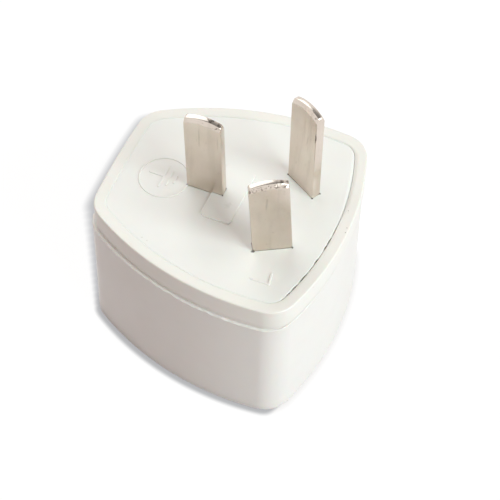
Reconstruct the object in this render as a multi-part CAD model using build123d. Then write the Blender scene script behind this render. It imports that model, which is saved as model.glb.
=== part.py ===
from build123d import *
import os
from math import cos, radians, sin

# A plug adapter that stands on its socket face, with its three flat blades up.
# Origin: middle of the socket face. +Y points to the narrow end, where the earth blade is.
# The line blade is on the -X side and the neutral blade on the +X side. All sizes in mm.

# Outline of the body: four arcs with rounded corners
body_length = 40.65
body_width = 39.66
body_height = 28.0
side_arc_radius = 50.0
wide_arc_radius = 51.5
narrow_arc_radius = 150.0
corner_radius = 5.0
least_corner = 0.4
widest_from_wide_end = 11.65

# Shells, and how far the frame was welded off centre
collar_height = 4.4
wall = 1.8
face_thickness = 2.2
base_bevel = 0.4
collar_bevel = 0.5
parting_bevel = 0.15
housing_oversize = 0.1
seating_error_x = -0.12
seating_error_y = 0.3
lip_width = 2.03
lip_height = 1.6
lip_bevel = 0.1
collar_wall = 1.3

# Plate that carries the blades
plate_gap = 0.12
plate_shift = (0.04, 0.08)
plate_recess = 0.1
plate_thickness = 1.9
plate_rim_inset = 3.4
skirt_depth = 2.0
skirt_play = 0.45
slot_gap_width = 0.3
slot_gap_thickness = 0.2
boss_wall = 1.2
rib_depth = 0.8
rib_thickness = 0.9
ring_rib_radius = 4.5
post_width = 2.4
pole_post = (13.0, -1.6)
earth_post = (3.0, 7.0)
panel_length = 11.1
panel_width = 5.05
panel_height = 0.2
panel_corner = 0.9
panel_from_pattern = 6.4

# Blades, on the standard pattern of this plug
pattern_from_wide_end = 14.15
pole_radius = 7.92
earth_radius = 10.31
pole_angle = 30.0
blade_width = 6.35
blade_thickness = 1.6
blade_length = 17.3
tip_dome = 0.75
tip_corner = 0.5
tip_chamfer_length = 0.8
tip_chamfer_depth = 0.4
shoulder_step = 0.725
shoulder_gap = 0.05
bend_depth = 1.2
root_overlap = 0.7

# Lean of each blade off upright, in degrees towards +X and towards +Y
blade_leans = {"earth": (-1.8, 0.9), "line": (-4.9, 1.5), "neutral": (6.3, 2.1)}

# Socket openings for the pins of several plugs
pole_pin_x = 11.1
pole_pin_size = (7.0, 4.6)
earth_pin_rise = 22.2
earth_pin_size = (4.6, 8.6)
round_pin_x = 9.5
round_hole = 5.2
flat_pin_x = 6.35
flat_slot = (2.2, 7.2)
round_earth_rise = 11.9
opening_corner = 0.5
opening_chamfer = 0.35

# Contact pockets, measured from the pattern
pocket_wall = 1.0
pocket_bite = 0.45
pocket_half = 5.4
pocket_margin = 0.4
earth_pocket_start = 5.0

# Pressed contact strips
strip = 0.5
strip_bend = 0.9
contact_headroom = 4.1
leaf_play = 0.55
leaf_end_z = 5.4
throat_z = 9.0
leaf_top_drop = 6.4
leaf_flare = 1.35
wide_throat = 3.4
narrow_throat = 1.4
slit_above_leaf = 1.5
slit_width = 0.8
leaf_end_gap = 0.4
earth_slit_y = 14.0
ear_lap = 0.7
ear_half = 3.2
tab_width = 4.4
tab_height = 3.0
tab_corner = 1.2

# Rivets
rivet_diameter = 1.8
rivet_gap = 0.03
rivet_head = 2.6
rivet_head_height = 0.5
rivet_height = 1.5

# Worked out from the sizes above
wide_end_y = -body_length / 2
narrow_end_y = body_length / 2
widest_y = wide_end_y + widest_from_wide_end
parting_z = body_height - collar_height
lip_z = body_height - lip_height
plate_top_z = body_height - plate_recess
plate_under_z = plate_top_z - plate_thickness
rib_z = plate_under_z - rib_depth
roof_z = plate_under_z - contact_headroom
shoulder_width = blade_width + 2 * shoulder_step
pocket_height = roof_z - strip
leaf_top_z = roof_z - leaf_top_drop
leaf_half = pocket_half - strip / 2 - leaf_play
slit_top_z = leaf_top_z + slit_above_leaf
rivet_z = roof_z + rivet_height
pole_x = pole_radius * cos(radians(pole_angle))
pole_y = -pole_radius * sin(radians(pole_angle))
earth_pin_y = pole_y + earth_pin_rise
round_earth_y = pole_y + round_earth_rise
pole_pocket_near = flat_pin_x - flat_slot[0] / 2 - pocket_margin
pole_pocket_far = pole_pin_x + pole_pin_size[0] / 2 + pocket_margin
earth_pocket_end = earth_pin_y + earth_pin_size[1] / 2 + pocket_margin
housing_seat = Pos(seating_error_x / 2, seating_error_y / 2)
collar_seat = Pos(-seating_error_x / 2, -seating_error_y / 2)
plate_seat = collar_seat * Pos(*plate_shift)
pattern_seat = collar_seat * Pos(0, wide_end_y + pattern_from_wide_end)


def outline(inset):
    """The body's outline, drawn in by an even distance."""
    wide = Pos(0, wide_end_y + wide_arc_radius) * Circle(wide_arc_radius - inset)
    narrow = Pos(0, narrow_end_y - narrow_arc_radius) * Circle(narrow_arc_radius - inset)
    kite = wide & narrow
    for side in (-1, 1):
        centre_x = side * (body_width / 2 - side_arc_radius)
        kite &= Pos(centre_x, widest_y) * Rot(0, 0, 90) * Circle(side_arc_radius - inset)
    return fillet(kite.vertices(), max(corner_radius - inset, least_corner))


def slab(inset, low, high):
    """A prism of the outline between two heights."""
    return Pos(0, 0, low) * extrude(outline(inset), high - low)


def block(x_range, y_range, z_range):
    """A box from its limits along each axis."""
    limits = (x_range, y_range, z_range)
    middle = [(low + high) / 2 for low, high in limits]
    return Pos(*middle) * Box(*[high - low for low, high in limits])


def end_edges(solid, end):
    """Edges round the lowest face (0) or the highest face (-1)."""
    return solid.faces().filter_by(GeomType.PLANE).sort_by(Axis.Z)[end].edges()


def blade_angle(name):
    """Direction of a blade from the middle of the pattern, in degrees."""
    return {"earth": 90, "line": 180 + pole_angle, "neutral": -pole_angle}[name]


def blade_spot(name):
    """Middle of a blade, on the floor of the frame."""
    reach = earth_radius if name == "earth" else pole_radius
    angle = radians(blade_angle(name))
    return pattern_seat * Pos(reach * cos(angle), reach * sin(angle))


def blade_turn(name):
    """Turn that lays X along a blade's width, and Y outwards on the slanted blades."""
    return Rot(0, 0, 90 if name == "earth" else blade_angle(name) - 90)


def rivet_bore(diameter, length):
    """Cylinder across a blade's root at the rivet's height."""
    return Pos(0, 0, rivet_z) * Rot(90, 0, 0) * Cylinder(diameter / 2, length)


def exposed_blade():
    """Flat bar with a domed tip that is chamfered on both faces."""
    half = blade_width / 2
    corner_z = blade_length - tip_dome
    with BuildSketch(Plane.XZ) as profile:
        with BuildLine():
            Polyline((-half, corner_z), (-half, -bend_depth), (half, -bend_depth), (half, corner_z))
            ThreePointArc((half, corner_z), (0, blade_length), (-half, corner_z))
        make_face()
        fillet(profile.vertices().group_by(Axis.Z)[-1], tip_corner)
    bar = extrude(profile.sketch, blade_thickness / 2, both=True)
    dome_radius = (half**2 + tip_dome**2) / (2 * tip_dome)
    dome_axis = Axis((0, 0, blade_length - dome_radius), (0, -1, 0))
    surface = blade_thickness / 2
    corners = [
        (dome_radius - tip_chamfer_length, surface),
        (dome_radius + tip_chamfer_length, surface - 2 * tip_chamfer_depth),
        (dome_radius + tip_chamfer_length, surface + tip_chamfer_depth),
        (dome_radius - tip_chamfer_length, surface + tip_chamfer_depth),
    ]
    flat_wedge = make_face(Polyline(*corners, close=True))
    wedge = revolve(Pos(dome_axis.position) * flat_wedge, dome_axis, 180)
    return bar - wedge - mirror(wedge, Plane.XZ)


def make_blade(name):
    """Blade that leans from the plate's top, on a straight root with a shoulder behind the plate."""
    lean_x, lean_y = blade_leans[name]
    lean = Rot(-lean_y, lean_x, 0)
    bar = Pos(0, 0, body_height) * lean * blade_turn(name) * exposed_blade()
    thick = (-blade_thickness / 2, blade_thickness / 2)
    neck_top = body_height - bend_depth + root_overlap
    neck = block((-blade_width / 2, blade_width / 2), thick, (roof_z + shoulder_gap, neck_top))
    shoulder_z = (roof_z + shoulder_gap, rib_z - shoulder_gap)
    root = neck + block((-shoulder_width / 2, shoulder_width / 2), thick, shoulder_z)
    root -= rivet_bore(rivet_diameter + 2 * rivet_gap, 2 * blade_thickness)
    return blade_spot(name) * (bar + blade_turn(name) * root)


def make_rivet(name):
    """Rivet through the strip's tab and the blade's root, with a flat head at each end."""
    grip = blade_thickness + strip
    head = Cylinder(rivet_head / 2, rivet_head_height)
    head_place = Pos(0, 0, (grip + rivet_head_height) / 2)
    rivet = Cylinder(rivet_diameter / 2, grip) + head_place * head
    rivet += Rot(180, 0, 0) * head_place * head
    middle = Pos(0, strip / 2, rivet_z) * Rot(90, 0, 0)
    return blade_spot(name) * blade_turn(name) * middle * rivet


def pole_pins(side):
    """Cuts of one pole in the socket face: wide, round, upright and slanted pins."""
    slot = Rectangle(*flat_slot)
    return [
        Pos(side * pole_pin_x, pole_y) * RectangleRounded(*pole_pin_size, opening_corner),
        Pos(side * round_pin_x, pole_y) * Circle(round_hole / 2),
        Pos(side * flat_pin_x, pole_y) * slot,
        Pos(side * pole_x, pole_y) * Rot(0, 0, -side * pole_angle) * slot,
    ]


def earth_pins():
    """Cuts of the earth pins in the socket face: wide, round and flat, run into one another."""
    slot_width, slot_length = flat_slot
    low = earth_radius - slot_length / 2
    return [
        Pos(0, earth_pin_y) * RectangleRounded(*earth_pin_size, opening_corner),
        Pos(0, round_earth_y) * Circle(round_hole / 2),
        Pos(0, (low + earth_pin_y) / 2) * Rectangle(slot_width, earth_pin_y - low),
    ]


def pockets(grow):
    """The three contact pockets as solid columns, with their walls or without."""
    near, far = pole_pocket_near - grow, pole_pocket_far + grow
    half = pocket_half + grow
    heights = (face_thickness, pocket_height)
    columns = block((-half, half), (earth_pocket_start - grow, earth_pocket_end + grow), heights)
    columns += block((near, far), (pole_y - half, pole_y + half), heights)
    columns += block((-far, -near), (pole_y - half, pole_y + half), heights)
    return pattern_seat * columns


def make_housing():
    """Deep cup with the socket face for a floor, three contact pockets and their openings."""
    outside = slab(-housing_oversize, 0, parting_z)
    outside = chamfer(end_edges(outside, 0), base_bevel)
    outside = chamfer(end_edges(outside, -1), parting_bevel)
    inner_inset = wall - housing_oversize
    shell = housing_seat * (outside - slab(inner_inset, face_thickness, parting_z))
    core = housing_seat * slab(inner_inset - pocket_bite, face_thickness, pocket_height)
    cup = shell + ((pockets(pocket_wall) & core) - pockets(0))
    for pin in pole_pins(1) + pole_pins(-1) + earth_pins():
        cup -= pattern_seat * extrude(pin, face_thickness)
        mouth = offset(pin, amount=opening_chamfer, kind=Kind.INTERSECTION)
        cup -= pattern_seat * extrude(mouth, opening_chamfer, taper=45)
    return cup


def make_collar():
    """Frame that closes the housing's wall and laps over the plate's flange."""
    ring = slab(0, parting_z, body_height)
    ring = chamfer(end_edges(ring, -1), collar_bevel)
    ring = chamfer(end_edges(ring, 0), parting_bevel)
    opening = slab(lip_width, lip_z, body_height)
    ring -= opening + slab(collar_wall, parting_z, lip_z)
    rim = ring.faces().filter_by(GeomType.PLANE).sort_by(Axis.Z)[-1].inner_wires()[0]
    return collar_seat * chamfer(rim.edges(), lip_bevel)


def underside_ribs():
    """Spokes and a ring under the plate, and a boss round each blade."""
    half = rib_thickness / 2
    heights = (rib_z, plate_under_z)
    ring = Circle(ring_rib_radius + half) - Circle(ring_rib_radius - half)
    ribs = Pos(0, 0, rib_z) * extrude(ring, rib_depth)
    for name in blade_leans:
        ribs += Rot(0, 0, blade_angle(name)) * block((0, body_length), (-half, half), heights)
    ribs = pattern_seat * ribs
    boss = RectangleRounded(blade_width + 2 * boss_wall, blade_thickness + 2 * boss_wall, boss_wall)
    for name in blade_leans:
        ribs += blade_spot(name) * blade_turn(name) * Pos(0, 0, rib_z) * extrude(boss, rib_depth)
    return ribs & (plate_seat * slab(plate_rim_inset - rib_thickness, rib_z, plate_under_z))


def hold_down_posts():
    """Cross-shaped posts from the plate down to the roofs of the contact strips."""
    cross = Rectangle(post_width, rib_thickness) + Rectangle(rib_thickness, post_width)
    post = extrude(cross, (plate_under_z - roof_z) / 2, both=True)
    posts = Part()
    for spot_x, spot_y in (pole_post, earth_post):
        for side in (-1, 1):
            posts += pattern_seat * Pos(side * spot_x, spot_y, (roof_z + plate_under_z) / 2) * post
    return posts


def make_plate():
    """Flanged lid set in the frame, with a raised panel, blade slots, ribs and posts."""
    top = slab(lip_width + plate_gap, parting_z, plate_top_z)
    lid = chamfer(end_edges(top, -1), lip_bevel)
    lid += slab(collar_wall + plate_gap, parting_z, lip_z)
    lid += slab(wall + skirt_play, parting_z - skirt_depth, parting_z)
    lid -= slab(plate_rim_inset, parting_z - skirt_depth, plate_under_z)
    panel = extrude(RectangleRounded(panel_length, panel_width, panel_corner), panel_height)
    plate = plate_seat * lid + pattern_seat * Pos(0, panel_from_pattern, plate_top_z) * panel
    plate += underside_ribs() + hold_down_posts()
    slot_width = blade_width + 2 * slot_gap_width
    slot_thickness = blade_thickness + 2 * slot_gap_thickness
    slot = block(
        (-slot_width / 2, slot_width / 2),
        (-slot_thickness / 2, slot_thickness / 2),
        (rib_z, plate_top_z + panel_height),
    )
    for name in blade_leans:
        plate -= blade_spot(name) * blade_turn(name) * slot
    return plate


def leaf_line(throat):
    """Middle line of one spring leaf, from its flared end up to the roof."""
    squeeze = (throat + strip) / 2
    return [
        (squeeze + leaf_flare, leaf_end_z),
        (squeeze, throat_z),
        (leaf_half, leaf_top_z),
        (leaf_half, roof_z - strip / 2),
    ]


def bent_strip(plane, points, length):
    """Strip bent along a line of points and drawn out along the plane's normal."""
    with BuildSketch(plane) as section:
        with BuildLine():
            FilletPolyline(*points, radius=strip_bend)
        trace(line_width=strip)
    return extrude(section.sketch, length)


def clip_line(throat):
    """Middle line of both leaves and the roof between them."""
    leaf = leaf_line(throat)
    return leaf + [(-across, height) for across, height in reversed(leaf)]


def add_tab(name, contact):
    """Tab cut out of the roof on three sides and bent up against the blade's root."""
    near = blade_thickness / 2
    side = Rectangle(tab_width, tab_height)
    side = fillet(side.vertices().group_by(Axis.Y)[-1], tab_corner)
    hole_y = rivet_height - tab_height / 2
    upright = side - Pos(0, hole_y) * Circle(rivet_diameter / 2 + rivet_gap)
    upright = Pos(0, near + strip, roof_z + tab_height / 2) * Rot(90, 0, 0) * extrude(upright, strip)
    foot = block((-tab_width / 2, tab_width / 2), (near, near + strip), (pocket_height, roof_z))
    window = Pos(0, near + strip + tab_height / 2, pocket_height) * extrude(side, strip)
    place = blade_spot(name) * blade_turn(name)
    return contact - place * window + place * (upright + foot)


def make_pole_contact(name, side):
    """Contact strip of a slanted blade: a roof on the pocket's walls and two slit spring leaves."""
    near, far = pole_pocket_near, pole_pocket_far
    low = near + leaf_end_gap if side > 0 else -far + leaf_end_gap
    length = far - near - 2 * leaf_end_gap
    clip = Pos(0, pole_y) * bent_strip(Plane.YZ.offset(low), clip_line(wide_throat), length)
    ear_x = sorted((side * (near - ear_lap), side * (far + ear_lap)))
    clip += block(ear_x, (pole_y - ear_half, pole_y + ear_half), (pocket_height, roof_z))
    slit_x = low + length / 2
    clip -= block(
        (slit_x - slit_width / 2, slit_x + slit_width / 2),
        (pole_y - pocket_half, pole_y + pocket_half),
        (0, slit_top_z),
    )
    return add_tab(name, pattern_seat * clip)


def make_earth_contact():
    """Contact strip of the earth blade: close fingers for flat pins, wide ones for the large pin."""
    low, high = earth_pocket_start + leaf_end_gap, earth_pocket_end - leaf_end_gap
    slit_low, slit_high = earth_slit_y - slit_width / 2, earth_slit_y + slit_width / 2
    clip = bent_strip(Plane.XZ.offset(-slit_low), clip_line(narrow_throat), slit_low - low)
    leaf = bent_strip(Plane.XZ.offset(-high), leaf_line(wide_throat), high - slit_high)
    bend_top = roof_z - strip / 2 - strip_bend
    web_x = (leaf_half - strip / 2, leaf_half + strip / 2)
    leaf += block(web_x, (slit_low, slit_high), (slit_top_z, bend_top))
    clip += leaf + mirror(leaf, Plane.YZ)
    ear_reach = pocket_half + ear_lap
    ear_y = (slit_low - 2 * ear_half, slit_low)
    clip += block((-ear_reach, ear_reach), ear_y, (pocket_height, roof_z))
    return add_tab("earth", pattern_seat * clip)


pieces = {
    "socket_housing": make_housing(),
    "collar_frame": make_collar(),
    "pin_plate": make_plate(),
    "line_contact": make_pole_contact("line", -1),
    "neutral_contact": make_pole_contact("neutral", 1),
    "earth_contact": make_earth_contact(),
}
for pole in blade_leans:
    pieces[pole + "_blade"] = make_blade(pole)
    pieces[pole + "_rivet"] = make_rivet(pole)

os.makedirs("parts", exist_ok=True)
for piece_name, piece in pieces.items():
    export_step(piece, "parts/" + piece_name + ".step")
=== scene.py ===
from math import atan2, ceil, cos, degrees, exp, pi, radians, sin, sqrt

import bmesh
import bpy
from mathutils import Matrix, Vector, geometry, noise


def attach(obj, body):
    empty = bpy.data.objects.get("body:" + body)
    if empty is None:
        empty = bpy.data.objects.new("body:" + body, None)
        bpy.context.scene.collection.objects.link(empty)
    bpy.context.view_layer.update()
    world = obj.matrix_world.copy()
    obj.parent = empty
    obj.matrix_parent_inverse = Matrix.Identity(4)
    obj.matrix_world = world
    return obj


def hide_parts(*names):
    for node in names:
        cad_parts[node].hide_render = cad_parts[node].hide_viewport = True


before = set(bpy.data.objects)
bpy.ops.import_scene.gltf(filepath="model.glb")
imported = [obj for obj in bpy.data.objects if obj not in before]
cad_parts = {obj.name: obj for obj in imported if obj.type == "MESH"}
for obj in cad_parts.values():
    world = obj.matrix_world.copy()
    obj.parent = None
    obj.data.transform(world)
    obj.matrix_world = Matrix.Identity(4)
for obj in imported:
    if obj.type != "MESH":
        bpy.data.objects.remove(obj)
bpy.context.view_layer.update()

# Sizes are in millimetres until a mesh is made. +Y points to the narrow end and the earth blade.
MM = 0.001
SHARP_ANGLE = 32
MERGE_DISTANCE = 0.0005
CUT_PAST = 1

# Outline of the body: four arcs with rounded corners
BODY_LENGTH = 40.65
BODY_WIDTH = 39.66
SIDE_ARC = 50.0
WIDE_ARC = 51.5
NARROW_ARC = 150.0
CORNER = 5.0
WIDEST_FROM_WIDE_END = 11.65
SPACING = 0.3

# Heights, and where each moulding sits
BODY_TOP = 28.0
PARTING = 23.6
HOUSING_SEAT = Vector((-0.06, 0.15))
FRAME_SEAT = Vector((0.06, -0.15))
PLATE_SEAT = Vector((0.03, -0.06))
PATTERN = Vector((0.06, -6.325))

# Uneven edges: lengths of their waves
FINE_WAVE = 0.9
LONG_WAVE = 3.1
LIFT_WAVE = 1.3
CHIP_WAVE = 1.1
CHIP_SEED = 31.0
WALL_WAVE = 0.004

# Parts of the wide end with a chipped or a grooved edge: middle and half length
WIDE_END_Y = -10
CHIPPED_PART = (-8.5, 8)
GROOVED_PART = (11, 7)

# Housing
HOUSING_PROUD = 0.1
HOUSING_TOP = PARTING - 0.06
BASE_ROUND = 0.55
BASE_ROUND_STEPS = 6
BASE_LAND = 0.1
WALL_DRAFT = 0.02
WALL_HEIGHTS = range(2, 23)
WALL_SEED = 0.01
SHELF_INSET = 0.4
WALL_INSET = 1.7
FACE_THICKNESS = 2.2
POCKET_FOOT = 1.9
POCKET_TOP = 21.4
POCKET_WALL = 1.0
POCKET_CORNER = 0.3
POCKET_HALF = 5.4
POLE_POCKET = (4.85, 15.0)
EARTH_POCKET = (5.0, 22.94)

# Ledge of flash under the parting line: inset, height from that line, unevenness in and up
LEDGE_SEED = 2
LEDGE = [
    (0.02, -0.8, 0.0, 0.0),
    (0.01, -0.65, 0.02, 0.08),
    (-0.05, -0.57, 0.17, 0.16),
    (-0.04, -0.48, 0.19, 0.24),
    (0.03, -0.42, 0.19, 0.26),
    (0.15, -0.38, 0.12, 0.2),
    (0.28, -0.34, 0.03, 0.04),
    (0.34, -0.1, 0.0, 0.0),
]

# Pin openings of the socket face: sizes, and places from the pattern's middle
OPENING_LEAD = 0.35
OPENING_START = -0.5
ROUND_PIN = 2.6
FLAT_PIN = (2.2, 7.2)
FLAT_EARTH_PIN = (2.2, 11.53)
FLAT_CORNER = 0.15
THICK_PIN = (7.0, 4.6)
THICK_EARTH_PIN = (4.6, 8.6)
THICK_CORNER = 0.5
SLANT = 30
POLE_Y = -3.96
POLE_X = {"thick": 11.1, "round": 9.5, "upright": 6.35, "slanted": 6.859}
EARTH_Y = {"thick": 18.24, "round": 7.94, "flat": 12.475}

# Frame
FRAME_ROUND = 0.24
FRAME_ROUND_STEPS = 7
FRAME_WALL = 1.3
FRAME_SEED = 14
FRAME_SIDE = (1.0, 1.7, 2.4, 3.1)
RIM_WIDTH = 2.03
RIM_FLAT = (0.5, 0.8, 1.2)
RIM_SEED = 15
LIP_HEIGHT = 1.6
LIP_UNDER = BODY_TOP - LIP_HEIGHT

# Foot of the frame: inset, height from the parting line, unevenness in and up, and seed
FRAME_FOOT = [
    (FRAME_WALL, 0.0, 0.0, 0.0, 0),
    (0.45, 0.0, 0.0, 0.0, 0),
    (0.14, -0.02, 0.04, 0.03, 11),
    (0.05, 0.02, 0.03, 0.06, 12),
    (0.0, 0.12, 0.01, 0.06, 12),
]

# Inner edge of the rim: distance from it, drop, unevenness, chips, and the groove's inset and drop
RIM_EDGE = [
    (0.35, 0.0, 0.02, 0.0, (-0.25, 0.0)),
    (0.24, 0.01, 0.02, 0.0, (-0.2, 0.06)),
    (0.09, 0.06, 0.02, 0.0, (-0.08, 0.16)),
    (0.0, 0.16, 0.0, -0.06, (0.0, 0.2)),
]

# Plate
PLATE_INSET = 1.99
PLATE_SIDE = 1.42
PLATE_RECESS = 0.1
PLATE_TOP = BODY_TOP - PLATE_RECESS
PLATE_UNDER = 26.0
PLATE_SEED = 21
SKIRT_OUTER = 2.25
SKIRT_INNER = 3.4
SKIRT_FOOT = PARTING - 2
PANEL_SIZE = (11.3, 5.25)
PANEL_HEIGHT = 0.28
PANEL_CORNER = 0.65
PANEL_SPOT = PATTERN + Vector((-0.1, 6.5))

# Upper edge of the plate, given in the same way as the rim's
PLATE_EDGE = [
    (0.0, 0.3, 0.0, 0.18, (0.0, 0.0)),
    (0.0, 0.1, 0.02, 0.18, (0.0, 0.12)),
    (0.07, 0.03, 0.03, 0.14, (0.12, 0.08)),
    (0.18, 0.0, 0.02, 0.05, (0.25, 0.02)),
    (0.38, 0.0, 0.0, 0.0, (0.3, 0.0)),
]

# Raised marks on the plate: the terminal's letter, and an earth symbol in a circle
MARK_HEIGHT = 0.13
MARK_EDGE = 0.04
MARK_SUNK = 0.2
STROKE_STEPS = 6
TERMINAL_WIDTH = 0.34
TERMINAL_CORNER = PATTERN + Vector((-14.2, -6.37))
TERMINAL_STROKES = [
    (TERMINAL_CORNER, PATTERN + Vector((-14.18, -3.33))),
    (TERMINAL_CORNER, PATTERN + Vector((-12.1, -6.05))),
]
SYMBOL_SPOT = PATTERN + Vector((-0.87, 17.52))
SYMBOL_RADIUS = 4.1
SYMBOL_RING_WIDTH = 0.26
SYMBOL_RING_STEPS = 96
SYMBOL_WIDTH = 0.3
SYMBOL_STROKES = [
    (Vector((0.2, 2.6)), Vector((0.2, 0.1))),
    (Vector((-2.1, 0.1)), Vector((2.5, 0.1))),
    (Vector((-1.3, -0.9)), Vector((1.7, -0.9))),
    (Vector((-0.5, -1.9)), Vector((0.9, -1.9))),
]

# Slots: gap and corner notch below the plate's face and at it, and the depths between them
SLOT_WIDE = (0.2, 0.1)
SLOT_TIGHT = (-0.04, 0.11)
SLOT_TAPER = (0.5, 0.15)
NOTCH_STEPS = 8
NOTCH_WOBBLE = 0.6
NOTCH_WAVE = 0.6

# Blades
BLADE_WIDTH = 6.35
BLADE_THICK = 1.6
BLADE_LENGTH = 17.3
SIDE_ROUND = 0.12
TIP_DOME = 0.75
TIP_CORNER = 0.3
TIP_BEVEL = (0.8, 0.4)
TIP_ROUND = 0.1
HAMMER_SIZE = (0.3, 0.25)
HAMMER_SEED = 3.0
BLADE_SHARP = 18
BEND_DEPTH = 1.2
ROOT_BOTTOM = 21.95
ROOT_CORNER = 0.1
NECK_TOP = BODY_TOP - 0.5
SHOULDER_TOP = 25.15
SHOULDER_WIDTH = 7.8
BLADES = {
    "earth": {"angle": 90, "turn": 90, "reach": 10.31, "lean": (-1.8, 0.9), "hammer": 0.03},
    "line": {"angle": 210, "turn": 120, "reach": 7.92, "lean": (-4.9, 1.5), "hammer": 0.11},
    "neutral": {"angle": -30, "turn": -120, "reach": 7.92, "lean": (6.3, 2.1), "hammer": 0.03},
}

# Pressed line down a blade's face: its middle and half size across and below the tip, and depth
LINE_ACROSS = (0.55, 0.2)
LINE_BELOW = (4.6, 2.4)
LINE_DEPTH = 0.02

# Mesh of a blade's face: columns from its sides inwards, and rows down from its tip
EDGE_STEPS = [0, 0.015, 0.04, 0.08, 0.13, 0.2]
FACE_MARGIN = 0.3
FACE_STEPS = 34
TIP_DROPS = [0.0, 0.01, 0.03, 0.06]
TIP_DROPS += [0.1 + 0.07 * step for step in range(11)]
TIP_DROPS += [0.87, 0.96, 1.05]
TIP_DROPS += [1.15 + 0.25 * step for step in range(25)]
LOWER_ROWS = 36

# Ivory plastics: colour, shade and roughness
IVORIES = {
    "housing": ((0.835, 0.83, 0.79), (0.82, 0.81, 0.77), 0.36),
    "frame": ((0.855, 0.85, 0.79), (0.84, 0.835, 0.78), 0.34),
    "plate": ((0.855, 0.86, 0.82), (0.84, 0.845, 0.805), 0.38),
}

# Other colours
NICKEL = (0.75, 0.665, 0.59)
NICKEL_SHADE = (0.68, 0.595, 0.515)
NICKEL_ROUGHNESS = 0.21
PIT = (0.16, 0.13, 0.1)
BRASS = (0.78, 0.58, 0.3)
TARNISH = (0.5, 0.36, 0.18)
FINE_SPECK = (0.3, 0.26, 0.21)
SPECK_BROWN = (0.25, 0.2, 0.15)
# Painted shade of the shallow dent at the gate
GATE_DENT_SHADE = (0.36, 0.38, 0.3)
# Painted shade at the slot corners
SLOT_SHADE_TONE = (0.07, 0.055, 0.045)
# Painted dark reflections and shade on the blades
DARK_REFLECTION_TONE = (0.12, 0.095, 0.075)
STREAK = (0.36, 0.3, 0.24)
WHITE = (1, 1, 1)

# Marks: how ragged their edges are, then brown specks, and the plate's gate mark painted as the shade of
# a shallow dent, with half sizes
SPOT_WOBBLE = 0.5
RIM_SPECK_SIZE = (0.11, 0.11, 0.2)
RIM_SPECKS = [
    (-13.46, 9.365),
    (-13.69, 8.385),
    (4.5, -19.0),
    (4.07, -19.065),
    (1.14, -20.0),
    (0.2, -20.1),
    (0.09, 9.115),
]
WALL_SPECK_SIZE = (0.14, 0.14, 0.12)
WALL_SPECKS = [(-19.65, -10.7, 23.6)]
GATE_MARK = (-2.2, -0.725)
GATE_SIZE = (0.8, 0.6, 0.5)

# Painted shade at the corners of the slots: half sizes, the larger one for the line slot's front corner
SLOT_SHADE_SIZE = 0.17
SLOT_SHADE_WORST = 0.34
SLOT_SHADE_HEIGHT = 0.3

# Painted dark reflections on the tips, and painted shade of a groove down the neutral blade's edge:
# place along its width, side, height above the plate, and half sizes
BLADE_DARK_REFLECTIONS = {
    "earth": [(-1.4, 0, 17.2, (0.4, 1.0, 0.12)), (-2.7, 0, 16.7, (0.5, 0.5, 0.3))],
    "line": [
        (-2.9, 0, 16.6, (0.4, 0.4, 0.2)),
        (-2.1, 0, 17.0, (0.4, 0.4, 0.15)),
        (3.0, 1, 16.2, (0.25, 0.35, 0.5)),
    ],
    "neutral": [(3.1, -1, 13.0, (0.14, 0.14, 2.6))],
}

# Faint upright streaks on the faces of the blades, given in the same way
BLADE_STREAKS = {
    "earth": [(0.55, 1, 13.3, (0.3, 0.13, 2.2)), (-2.6, 1, 13.0, (0.3, 0.08, 1.6))],
    "line": [(0.5, 1, 12.8, (0.16, 0.2, 2.2))],
    "neutral": [(1.2, -1, 11.0, (0.1, 0.2, 2.0))],
}

# Painted dark flecks of reflection on the bevels of the tips, given in the same way
BLADE_REFLECTION_FLECKS = {
    "earth": [(-2.4, 1, 16.5, (0.5, 0.5, 0.2))],
    "line": [
        (2.3, 1, 16.4, (0.55, 0.7, 0.3)),
        (1.2, 1, 16.7, (0.55, 0.7, 0.3)),
        (0.0, 1, 16.85, (0.5, 0.6, 0.25)),
        (-1.2, 1, 16.75, (0.55, 0.7, 0.28)),
        (-2.4, 1, 16.5, (0.55, 0.7, 0.28)),
    ],
    "neutral": [(2.6, -1, 16.5, (0.4, 0.4, 0.2))],
}

# How each kind of mark shows: its table, weakest and strongest cover, and colour
# The first and last kinds are painted dark reflections
BLADE_MARKS = [
    (BLADE_DARK_REFLECTIONS, 0.4, 0.85, DARK_REFLECTION_TONE),
    (BLADE_STREAKS, 0.3, 0.42, STREAK),
    (BLADE_REFLECTION_FLECKS, 0.0, 0.75, DARK_REFLECTION_TONE),
]

# Floor: its size and brightness, and the painted contact shade where the object meets it
FLOOR_HALF = 3000
FLOOR_GLOW = 0.93
FLOOR_GREY = (0.1, 0.1, 0.1)
FLOOR_BOUNCE = (0.4, 0.32, 0.32)
CONTACT_REACH = 1.4
CONTACT_SHADE_TONE = (0.88, 0.87, 0.86)

# Painted soft shadow on the floor, drawn as if cast by a large lamp in front of the body; no such lamp
# is in the scene
PAINTED_SHADOW_SOURCE = Vector((-173.28, -71.98, 260.93))
SHADOW_SHIFT = Vector((-1.27, 0.68, 0))
SHADOW_STEPS = 14
SHADOW_DARK = (0.9, 0.5)
SHADOW_FADE = (1.0, 1.1)
SHADOW_TONE = (0.49, 0.5, 0.52)
CORNER_BLEND = 2.0
OUTLINE_CIRCLES = [
    (0, WIDE_ARC - BODY_LENGTH / 2, WIDE_ARC),
    (0, BODY_LENGTH / 2 - NARROW_ARC, NARROW_ARC),
    (BODY_WIDTH / 2 - SIDE_ARC, WIDEST_FROM_WIDE_END - BODY_LENGTH / 2, SIDE_ARC),
    (SIDE_ARC - BODY_WIDTH / 2, WIDEST_FROM_WIDE_END - BODY_LENGTH / 2, SIDE_ARC),
]

# World: even light, and how high and how far the white that reflections see fades
FILL = 0.48
FILL_COLOUR = (1.0, 0.882, 0.82)
SKY_EDGE = (0.67, 0.79)
SKY_DARK = 0.25

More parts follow.
